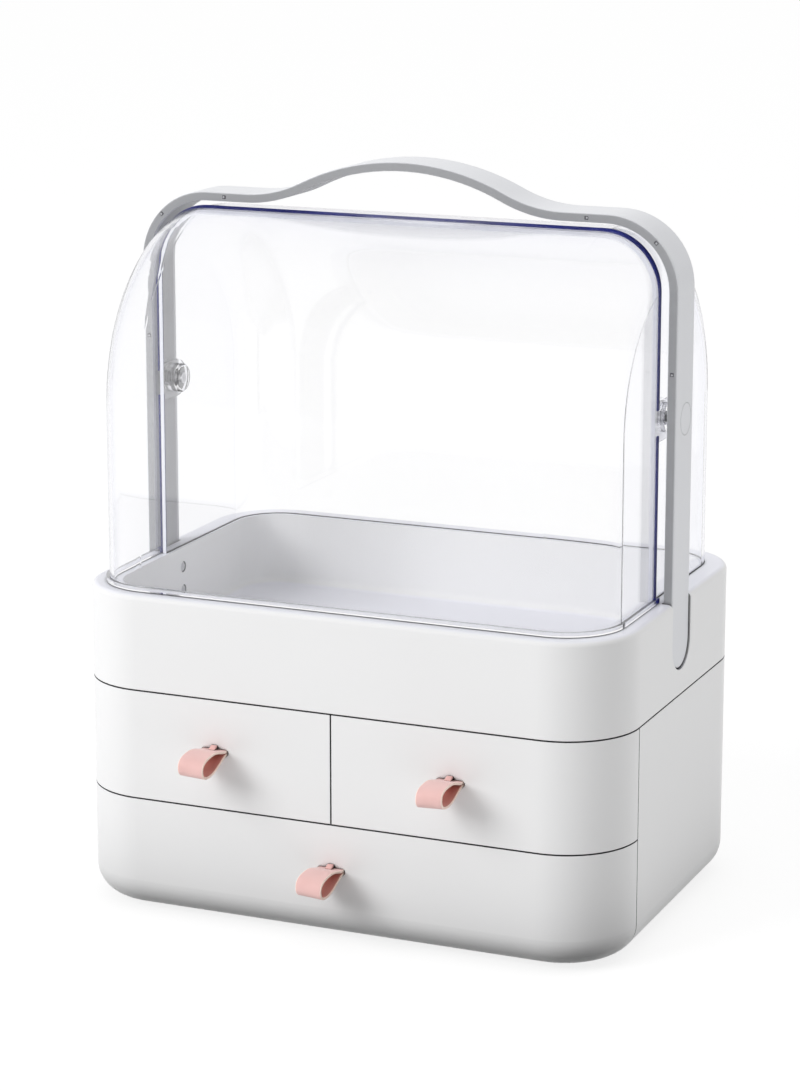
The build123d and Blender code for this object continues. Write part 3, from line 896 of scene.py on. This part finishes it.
@dataclass
class DustCovers:
    """The two clear covers and the cut edges at which they meet.

    Attributes:
        finishes: The finishes.
        front_cut: Y of the front cover's cut edge.
        rear_cut: Y of the rear cover's cut edge.
        band: How far from the rear cut a face still belongs to it.
        facing: How squarely such a face looks to the front.
        tint_width: Width of the tinted edge.
        tint_skin: How far the tinted edge stands proud of the cover.
        hub_half: Half the height of the gap that the edge leaves at the hubs.
        crease: Angle past which an edge of the tinted piece stays sharp.
        weld: Distance within which points are joined.
    """

    finishes: Finishes
    front_cut: float = -15.5 * MM
    rear_cut: float = -19.0 * MM
    band: float = 0.05 * MM
    facing: float = 0.9
    tint_width: float = 3.1 * MM
    tint_skin: float = 0.05 * MM
    hub_half: float = 6.6 * MM
    crease: float = math.radians(30.0)
    weld: float = 0.001 * MM

    def build(self) -> None:
        """Dress both covers and mark their cut edges."""
        dress("front_cover", self.finishes.clear)
        cover = dress("rear_cover", self.finishes.clear, self.finishes.pale_rim)
        for face in cover.data.polygons:
            on_cut = abs(face.center.y - self.rear_cut) < self.band and face.normal.y < -self.facing
            face.material_index = int(on_cut)
        for name in ("pivot_button_left", "pivot_button_right"):
            dress(name, self.finishes.clear)
        self._tinted_edge()
        LOG.info("covers dressed")

    def _tinted_edge(self) -> None:
        """Build the deep tint along the front cover's cut edge, above and below the hubs."""
        low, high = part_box("pivot_pin_right")
        axis_z = (low.z + high.z) / 2
        whole = bmesh.new()
        for side in (-1.0, 1.0):
            strip = bmesh.new()
            strip.from_mesh(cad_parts["front_cover"].data)
            bmesh.ops.remove_doubles(strip, verts=strip.verts, dist=self.weld)
            self._keep(strip, (0.0, self.front_cut - self.tint_width, 0.0), (0.0, 1.0, 0.0))
            self._keep(strip, (0.0, self.front_cut + self.tint_skin, 0.0), (0.0, -1.0, 0.0))
            self._keep(strip, (0.0, 0.0, axis_z + side * self.hub_half), (0.0, 0.0, side))
            part = bpy.data.meshes.new("tint_part")
            strip.to_mesh(part)
            strip.free()
            whole.from_mesh(part)
            bpy.data.meshes.remove(part)
        bmesh.ops.recalc_face_normals(whole, faces=whole.faces)
        whole.normal_update()
        for vert in whole.verts:
            vert.co += vert.normal * self.tint_skin
        for edge in whole.edges:
            edge.smooth = edge.calc_face_angle(0.0) < self.crease
        piece = hand_over(whole, "front_cover_tinted_edge", [self.finishes.rim])
        settle(piece, Body.FRONT_COVER, Slot.CLEAR)
        LOG.info("%s built", piece.name)

    @staticmethod
    def _keep(mesh: bmesh.types.BMesh, spot: Point, towards: Point) -> None:
        """Cut a closed mesh by a plane, keep one side and close it again.

        Args:
            mesh: The mesh.
            spot: A point of the plane.
            towards: The plane's normal, on the side that stays.
        """
        parts = [*mesh.verts, *mesh.edges, *mesh.faces]
        cut = bmesh.ops.bisect_plane(mesh, geom=parts, plane_co=spot, plane_no=towards, clear_inner=True)
        rim = [part for part in cut["geom_cut"] if isinstance(part, bmesh.types.BMEdge)]
        bmesh.ops.holes_fill(mesh, edges=rim, sides=0)


@dataclass(frozen=True)
class Notch:
    """Where one of the handle's snap windows is.

    Attributes:
        place: X and Z of its middle.
        angle: Direction of the strap there, in degrees from +X.
    """

    place: Pair
    angle: float


@dataclass
class CarryHandle:
    """The two-part handle with its pivot caps, pins and the snap windows in its cheeks.

    Attributes:
        finishes: The finishes.
        window: Length and width of a snap window.
        hook: Length and width of the hook in it.
        hook_shift: How far the hook lies from the window's middle.
        window_proud: Height of the window's plate of painted shadow above the cheek.
        hook_proud: Height of the hook above the cheek.
        corner: Radius of their corners.
        wall_share: Share of the height at which the top bevel begins.
        bevel: Width of that bevel.
        sunk: Depth of both in the cheek.
    """

    finishes: Finishes
    window: Pair = (2.1 * MM, 1.9 * MM)
    hook: Pair = (1.0 * MM, 1.1 * MM)
    hook_shift: float = 0.25 * MM
    window_proud: float = 0.02 * MM
    hook_proud: float = 0.10 * MM
    corner: float = 0.35 * MM
    wall_share: float = 0.4
    bevel: float = 0.06 * MM
    sunk: float = 0.3 * MM

    def build(self) -> None:
        """Dress the handle and add its snap windows."""
        dress("handle_outer", self.finishes.handle)
        dress("handle_liner", self.finishes.liner)
        for side in ("left", "right"):
            dress("pivot_cap_" + side, self.finishes.handle)
            dress("pivot_pin_" + side, self.finishes.steel)
        self._windows()
        LOG.info("handle dressed")

    @staticmethod
    def _notches() -> list[Notch]:
        """Snap windows on the right half, as the photograph shows them.

        Returns:
            One entry for each window.
        """
        return [
            Notch((100.5 * MM, 365.2 * MM), 0.0),
            Notch((137.3 * MM, 354.6 * MM), -46.0),
            Notch((146.7 * MM, 289.0 * MM), -90.0),
        ]

    def _windows(self) -> None:
        """Build the windows on both cheeks as dark plates of painted shadow in place of their openings, with
        a hook in each.
        """
        low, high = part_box("handle_outer")
        mesh = bmesh.new()
        for notch in self._notches():
            for side in (-1, 1):
                for face_y, looks in ((low.y, -1), (high.y, 1)):
                    centre = Vector((side * notch.place[0], face_y, notch.place[1]))
                    turn = math.radians(notch.angle if side > 0 else 180.0 - notch.angle)
                    along = Vector((math.cos(turn), 0.0, math.sin(turn)))
                    # the window's plate is painted shadow for its opening
                    self._plate(mesh, centre, along, looks, self.window, self.window_proud, 0)
                    centre += along * self.hook_shift
                    self._plate(mesh, centre, along, looks, self.hook, self.hook_proud, 1)
        piece = hand_over(mesh, "handle_snap_windows", (self.finishes.notch, self.finishes.liner))
        settle(piece, Body.BASE, Slot.HANDLE)
        LOG.info("%s built", piece.name)

    def _plate(
        self, mesh: bmesh.types.BMesh, centre: Vector, along: Vector, looks: int,
        size: Pair, proud: float, finish: int,
    ) -> None:
        """Add a small round-cornered plate that stands in a cheek.

        Args:
            mesh: The mesh that it is added to.
            centre: Its middle, on the cheek.
            along: Direction of its length.
            looks: 1 where the cheek looks to the back, -1 where it looks to the front.
            size: Length and width.
            proud: Height above the cheek.
            finish: Material index.
        """
        up = Vector((0.0, float(looks), 0.0))
        across = up.cross(along)
        half = (size[0] / 2 - self.corner, size[1] / 2 - self.corner)
        rings = []
        for level, inset in ((-self.sunk, 0.0), (proud * self.wall_share, 0.0), (proud, self.bevel)):
            ring = []
            for quarter in range(len(QUARTERS)):
                for u, v in corner_arc(quarter, half, self.corner - inset):
                    ring.append(mesh.verts.new(centre + along * u + across * v + up * level))
            rings.append(ring)
        close_rings(mesh, rings, [finish] * len(rings[0]), finish)


@dataclass
class PullTab:
    """Folded strap pull of one drawer, and the tongue that holds it down.

    Attributes:
        finishes: The finishes.
        node: The node that the strap stands for.
        body: The drawer that both ride on.
        roll: Angle by which the free loop turns about its own length.
        droop: How far the loop's tip hangs down.
        width: Width of the strap.
        thick: Its thickness.
        corner: Round of its long edges.
        rows: Strips across its width.
        anchor_in: Length of the strap behind the drawer front.
        slot_gap: Room between the node's rear end and the strap's.
        reach: How far the loop stands out, for the roll and the droop.
        sag_power: How much of the roll and the droop comes near the tip.
        tongue_half: Half the tongue's width.
        tongue_mid_mm: Height of the tongue's middle above the slot's, in millimetres.
        tongue_ends: Place and inset of the rings near the tongue's side, as shares.
        tongue_draw: Divides a ring's inset where it draws the nose in.
    """

    finishes: Finishes
    node: str
    body: Body
    roll: float
    droop: float
    width: float = 14.0 * MM
    thick: float = 1.3 * MM
    corner: float = 0.45 * MM
    rows: int = 10
    anchor_in: float = 7.2 * MM
    slot_gap: float = 0.2 * MM
    reach: float = 26.0 * MM
    sag_power: float = 1.5
    tongue_half: float = 1.75 * MM
    tongue_mid_mm: float = 2.4
    tongue_ends: tuple[Pair, ...] = ((1.0, 0.35), (0.93, 0.12), (0.8, 0.0))
    tongue_draw: float = 3.0

    def build(self) -> None:
        """Build the strap and its tongue."""
        low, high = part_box(self.node)
        centre = (low + high) / 2
        slot = (centre.x, high.y - self.anchor_in - self.slot_gap, centre.z)
        self._strap(slot)
        self._tongue(slot)

    def _strap(self, slot: Point) -> None:
        """Build the strap.

        Args:
            slot: Middle of the slot, on the drawer front.
        """
        path = self._path()
        section = self._section()
        mesh = bmesh.new()
        rings = []
        for k, (start, level) in enumerate(path):
            before = path[max(k - 1, 0)]
            after = path[min(k + 1, len(path) - 1)]
            along = Vector((after[0] - before[0], after[1] - before[1])).normalized()
            ring = []
            for across, up in section:
                out = start - along.y * up
                height = level + along.x * up
                free = max(out, 0.0) / self.reach
                height -= (self.droop + across * math.sin(self.roll)) * free ** self.sag_power
                ring.append(mesh.verts.new((slot[0] + across, slot[1] - out, slot[2] + height)))
            rings.append(ring)
        strips = [self._side_of(section, k).value for k in range(len(section))]
        close_rings(mesh, rings, strips, StrapSide.EDGE.value)
        finishes = (self.finishes.strap, self.finishes.strap_edge, self.finishes.strap_back)
        piece = hand_over(mesh, self.node.replace("pull_tab", "strap_pull"), finishes)
        settle(piece, self.body, Slot.STRAP, self.node)
        LOG.info("%s built with %d faces", piece.name, len(piece.data.polygons))

    def _tongue(self, slot: Point) -> None:
        """Build the short tongue that comes over the slot's upper edge and lies on the strap.

        Args:
            slot: Middle of the slot, on the drawer front.
        """
        outline = self._tongue_outline()
        left = [(-share, inset) for share, inset in self.tongue_ends]
        mesh = bmesh.new()
        rings = []
        for share, inset in (*left, *reversed(self.tongue_ends)):
            ring = []
            for out, height in outline:
                drawn = out * (1 - inset / self.tongue_draw)
                level = height - (height - self.tongue_mid_mm) * inset
                spot = Vector((share * self.tongue_half, -drawn * MM, level * MM))
                ring.append(mesh.verts.new(Vector(slot) + spot))
            rings.append(ring)
        close_rings(mesh, rings, [0] * len(outline), 0)
        piece = hand_over(mesh, self.node.replace("pull_tab", "strap_tongue"), [self.finishes.keeper])
        settle(piece, self.body, Slot.KEEPER)
        LOG.info("%s built", piece.name)

    @staticmethod
    def _tongue_outline() -> list[Pair]:
        """The tongue's outline seen from the side, in millimetres.

        Returns:
            Points as distance out of the drawer front and height above the slot's middle.
        """
        top = bezier((0.03, 3.75), (1.1, 3.75), (2.3, 3.3), (3.7, 2.3), 8)
        nose = bezier((3.7, 2.3), (3.95, 2.1), (3.8, 1.8), (3.5, 1.8), 4)
        below = bezier((3.5, 1.8), (2.4, 1.8), (1.2, 1.7), (0.03, 1.7), 6)
        return [*top, *nose, *below, (0.03, 1.7)]

    @staticmethod
    def _path() -> list[Pair]:
        """The strap's middle line from its upper end to its lower end.

        Returns:
            Points as distance out of the drawer front and height above the slot.
        """
        spans_mm = [
            ((-7.2, 0.75), (-4.0, 0.75), (-2.0, 0.75), (0.5, 0.80), 6),
            ((0.5, 0.80), (5.0, 0.95), (9.0, 4.0), (16.0, 4.0), 14),
            ((16.0, 4.0), (23.0, 4.0), (27.6, 3.2), (27.6, -0.9), 14),
            ((27.6, -0.9), (27.6, -4.6), (24.0, -6.0), (19.0, -6.0), 14),
            ((19.0, -6.0), (11.5, -6.0), (5.0, -1.3), (0.5, -0.80), 14),
            ((0.5, -0.80), (-2.0, -0.75), (-4.0, -0.75), (-7.2, -0.75), 6),
        ]
        points: list[Pair] = []
        for span in spans_mm:
            points += bezier(*span)
        points.append(spans_mm[-1][3])
        return [(out * MM, height * MM) for out, height in points]

    def _section(self) -> list[Pair]:
        """The strap's cross-section, with rounded corners.

        Returns:
            Points as place across the strap and height above its middle.
        """
        half = (self.width / 2 - self.corner, self.thick / 2 - self.corner)
        points: list[Pair] = []
        for quarter, (sign_x, sign_z) in enumerate(QUARTERS):
            points += corner_arc(quarter, half, self.corner)
            if sign_x == sign_z:
                start_x = sign_x * half[0]
                level = sign_z * (half[1] + self.corner)
                for row in range(1, self.rows):
                    points.append((start_x - 2 * start_x * row / self.rows, level))
        return points

    @staticmethod
    def _side_of(section: Sequence[Pair], k: int) -> StrapSide:
        """Which side of the strap a strip of the section is on.

        Args:
            section: The cross-section.
            k: Index of the strip's first point.

        Returns:
            The side.
        """
        first = section[k]
        second = section[(k + 1) % len(section)]
        if not math.isclose(first[1], second[1], abs_tol=SAME_LEVEL):
            return StrapSide.EDGE
        return StrapSide.SKIN if first[1] > 0 else StrapSide.BACK


@dataclass
class Drawer:
    """One drawer: its front, box, screws, keeper and strap pull.

    Attributes:
        finishes: The finishes.
        place: Which drawer, as its nodes' names end.
        body: The body that it is.
        pull_roll: Angle by which its strap's loop turns.
        pull_droop: How far its strap's tip hangs down.
    """

    finishes: Finishes
    place: str
    body: Body
    pull_roll: float
    pull_droop: float

    def build(self) -> None:
        """Dress the drawer and build its strap."""
        dress("drawer_front_" + self.place, self.finishes.shell)
        dress("drawer_box_" + self.place, self.finishes.drawer_box)
        dress("front_screws_" + self.place, self.finishes.steel)
        dress("tab_keeper_" + self.place, self.finishes.keeper)
        node = "pull_tab_" + self.place
        PullTab(self.finishes, node, self.body, self.pull_roll, self.pull_droop).build()
        LOG.info("drawer %s dressed", self.place)


@dataclass
class Fasteners:
    """Screws of the tray and the handle."""

    finishes: Finishes

    def build(self) -> None:
        """Dress the screws."""
        for name in ("tray_screws", "handle_screws"):
            dress(name, self.finishes.steel)
        LOG.info("screws dressed")


# Studio -------------------------------------------------------------------------------------------

@dataclass(frozen=True)
class View:
    """The photograph's camera.

    Attributes:
        turn: Angle about +Z from the front, towards +X.
        tilt: Angle above the floor.
        distance: Distance from the target.
        target: The point that it looks at.
        lens_mm: Focal length.
        sensor_mm: Width of the sensor.
        shift_up: Shift of the frame, as a share of its longer side.
    """

    turn: float = math.radians(23.141)
    tilt: float = math.radians(12.367)
    distance: float = 1.6725
    target: Point = (-0.00733, 0.0, 0.22406)
    lens_mm: float = 105.06
    sensor_mm: float = 36.0
    shift_up: float = -0.0692

    def build(self) -> None:
        """Place the camera."""
        data = bpy.data.cameras.new("camera")
        data.lens = self.lens_mm
        data.sensor_width = self.sensor_mm
        data.sensor_fit = "AUTO"
        data.shift_y = self.shift_up
        camera = bpy.data.objects.new("camera", data)
        bpy.context.scene.collection.objects.link(camera)
        across = math.cos(self.tilt)
        back = Vector((math.sin(self.turn) * across, -math.cos(self.turn) * across, math.sin(self.tilt)))
        camera.location = Vector(self.target) + back * self.distance
        camera.rotation_euler = back.to_track_quat("Z", "Y").to_euler()
        bpy.context.scene.camera = camera


@dataclass
class Studio:
    """Pale floor, soft light and camera.

    Attributes:
        fill_low: Factor of the fill light from level, rising to fill_high from above.
        fill_high: Factor of the fill light from straight above.
        fill_front: Factor from the front, going over to fill_back at the back.
        fill_back: Factor from the back.
        fill_left: Factor from the left, going over to fill_right at the right.
        fill_right: Factor from the right.
        card_towards: Direction of the dark card that shades the fill light.
        card_edge: How squarely a direction points at the card, where its shade begins and is full.
        card_shade: Share of the fill light that is left in its middle.
        key_watts: Power of the lamp.
        key_size: Side of the lamp.
        key_from: Place of the lamp.
        key_aim: The point that the lamp faces.
        floor_half: Half the floor's side.
        floor_cells: Cells along the floor's side.
        floor_tone: Tone of the floor where it is seen.
        floor_glow: Light of the floor where it is seen.
        floor_bounce: Tone of the floor for light that falls on the object.
        floor_lift: Light of the floor that falls on the object.
        floor_shade: Distances from the foot between which the floor begins to light the object.
    """

    fill_low: float = 0.66
    fill_high: float = 1.30
    fill_front: float = 0.88
    fill_back: float = 0.62
    fill_left: float = 0.34
    fill_right: float = 2.12
    card_towards: Point = (0.70, -0.70, 0.14)
    card_edge: Pair = (0.42, 0.85)
    card_shade: float = 0.0
    key_watts: float = 55.0
    key_size: float = 1.5
    key_from: Point = (-1.6, -2.15, 1.65)
    key_aim: Point = (0.0, 0.0, 0.15)
    floor_half: float = 14.0
    floor_cells: int = 8
    floor_tone: float = 0.22
    floor_glow: float = 0.82
    floor_bounce: float = 0.50
    floor_lift: float = 0.34
    floor_shade: Pair = (24.0 * MM, 44.0 * MM)

    def build(self) -> None:
        """Build the world, the floor, the lamp and the camera."""
        self._world()
        self._floor()
        self._lamp()
        View().build()
        bpy.context.scene.view_settings.view_transform = "Standard"
        LOG.info("studio built")

    @staticmethod
    def _seen(sheet: Sheet) -> Socket:
        """A mask of the rays that show the background: from the camera, a gloss or a clear piece.

        Args:
            sheet: The tree that the mask is built in.

        Returns:
            1 for those rays and 0 for the rest.
        """
        path = sheet.add("LightPath")
        first = sheet.math("MAXIMUM", path.outputs["Is Camera Ray"], path.outputs["Is Glossy Ray"])
        return sheet.math("MAXIMUM", first, path.outputs["Is Transmission Ray"])

    def _world(self) -> None:
        """White where it is seen, and for the rest a fill light, with a dark card in front of it."""
        world = bpy.data.worlds.new("studio")
        world.use_nodes = True
        sheet = Sheet(world.node_tree)
        direction = sheet.add("TexCoord").outputs["Generated"]
        towards = sheet.add("SeparateXYZ")
        sheet.feed(towards.inputs[0], direction)
        height = sheet.remap(towards.outputs["Z"], 0.0, 1.0, self.fill_low, self.fill_high)
        depth = sheet.remap(towards.outputs["Y"], -1.0, 1.0, self.fill_front, self.fill_back)
        side = sheet.remap(towards.outputs["X"], -1.0, 1.0, self.fill_left, self.fill_right)
        near_card = sheet.add("VectorMath", operation="DOT_PRODUCT")
        sheet.feed(near_card.inputs[0], direction)
        sheet.feed(near_card.inputs[1], self.card_towards)
        card = sheet.remap(near_card.outputs["Value"], *self.card_edge, 1.0, self.card_shade)
        fill = sheet.math("MULTIPLY", height, depth)
        fill = sheet.math("MULTIPLY", fill, sheet.math("MULTIPLY", side, card))
        strength = sheet.remap(self._seen(sheet), 0.0, 1.0, fill, 1.0)
        background = world.node_tree.nodes["Background"]
        sheet.put(background, Color=WHITE, Strength=strength)
        bpy.context.scene.world = world

    def _floor(self) -> None:
        """A wide pale floor that keeps the shadow and lights the object, but for a strip at its foot."""
        mesh = bmesh.new()
        cells = self.floor_cells
        bmesh.ops.create_grid(mesh, x_segments=cells, y_segments=cells, size=self.floor_half)
        material = bpy.data.materials.new("floor")
        material.use_nodes = True
        sheet = Sheet(material.node_tree)
        material.node_tree.nodes.remove(material.node_tree.nodes["Principled BSDF"])
        seen = self._seen(sheet)
        open_floor = sheet.remap(self._from_foot(sheet), *self.floor_shade, 0.0, 1.0)
        bounce = sheet.mix(open_floor, (0.0,) * 3, (self.floor_bounce,) * 3)
        lift = sheet.math("MULTIPLY", open_floor, self.floor_lift)
        matt = sheet.add("BsdfDiffuse")
        sheet.feed(matt.inputs["Color"], sheet.mix(seen, bounce, (self.floor_tone,) * 3))
        glow = sheet.add("Emission")
        sheet.feed(glow.inputs["Strength"], sheet.remap(seen, 0.0, 1.0, lift, self.floor_glow))
        both = sheet.add("AddShader")
        sheet.feed(both.inputs[0], matt.outputs[0])
        sheet.feed(both.inputs[1], glow.outputs[0])
        sheet.feed(material.node_tree.nodes["Material Output"].inputs["Surface"], both.outputs[0])
        hand_over(mesh, "floor", [material])

    @staticmethod
    def _from_foot(sheet: Sheet) -> Socket:
        """Distance on the floor from the cabinet's outline.

        Args:
            sheet: The tree that it is worked out in.

        Returns:
            The distance in metres, 0 under the cabinet.
        """
        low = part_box("drawer_front_lower")[0]
        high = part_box("cabinet_shell")[1]
        spot = sheet.add("TexCoord").outputs["Object"]
        steps = (
            ("SUBTRACT", (*((low + high) / 2).xy, 0.0)),
            ("ABSOLUTE", None),
            ("SUBTRACT", (*((high - low) / 2).xy, 0.0)),
            ("MAXIMUM", (0.0, 0.0, 0.0)),
            ("LENGTH", None),
        )
        for operation, value in steps:
            node = sheet.add("VectorMath", operation=operation)
            sheet.feed(node.inputs[0], spot)
            if value is not None:
                sheet.feed(node.inputs[1], value)
            spot = node.outputs["Value" if operation == "LENGTH" else "Vector"]
        return spot

    def _lamp(self) -> None:
        """A square soft lamp that faces the organizer from the left and above."""
        data = bpy.data.lights.new("key", "AREA")
        data.shape = "SQUARE"
        data.size = self.key_size
        data.energy = self.key_watts
        lamp = bpy.data.objects.new("key", data)
        lamp.location = self.key_from
        aim = Vector(self.key_from) - Vector(self.key_aim)
        lamp.rotation_euler = aim.to_track_quat("Z", "Y").to_euler()
        lamp.visible_camera = lamp.visible_glossy = lamp.visible_transmission = False
        bpy.context.scene.collection.objects.link(lamp)


def main() -> None:
    """Build the organizer's looks and the studio."""
    logging.basicConfig(level=logging.INFO, format="%(name)s: %(message)s")
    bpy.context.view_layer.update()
    finishes = Finishes()
    Cabinet(finishes).build()
    TopTray(finishes).build()
    DustCovers(finishes).build()
    CarryHandle(finishes).build()
    Fasteners(finishes).build()
    drawers = (
        Drawer(finishes, "upper_left", Body.UPPER_LEFT, math.radians(3.0), 0.8 * MM),
        Drawer(finishes, "upper_right", Body.UPPER_RIGHT, math.radians(-3.0), 0.0),
        Drawer(finishes, "lower", Body.LOWER, math.radians(4.0), 0.4 * MM),
    )
    for drawer in drawers:
        drawer.build()
    Studio().build()


if __name__ == "__main__":
    main()
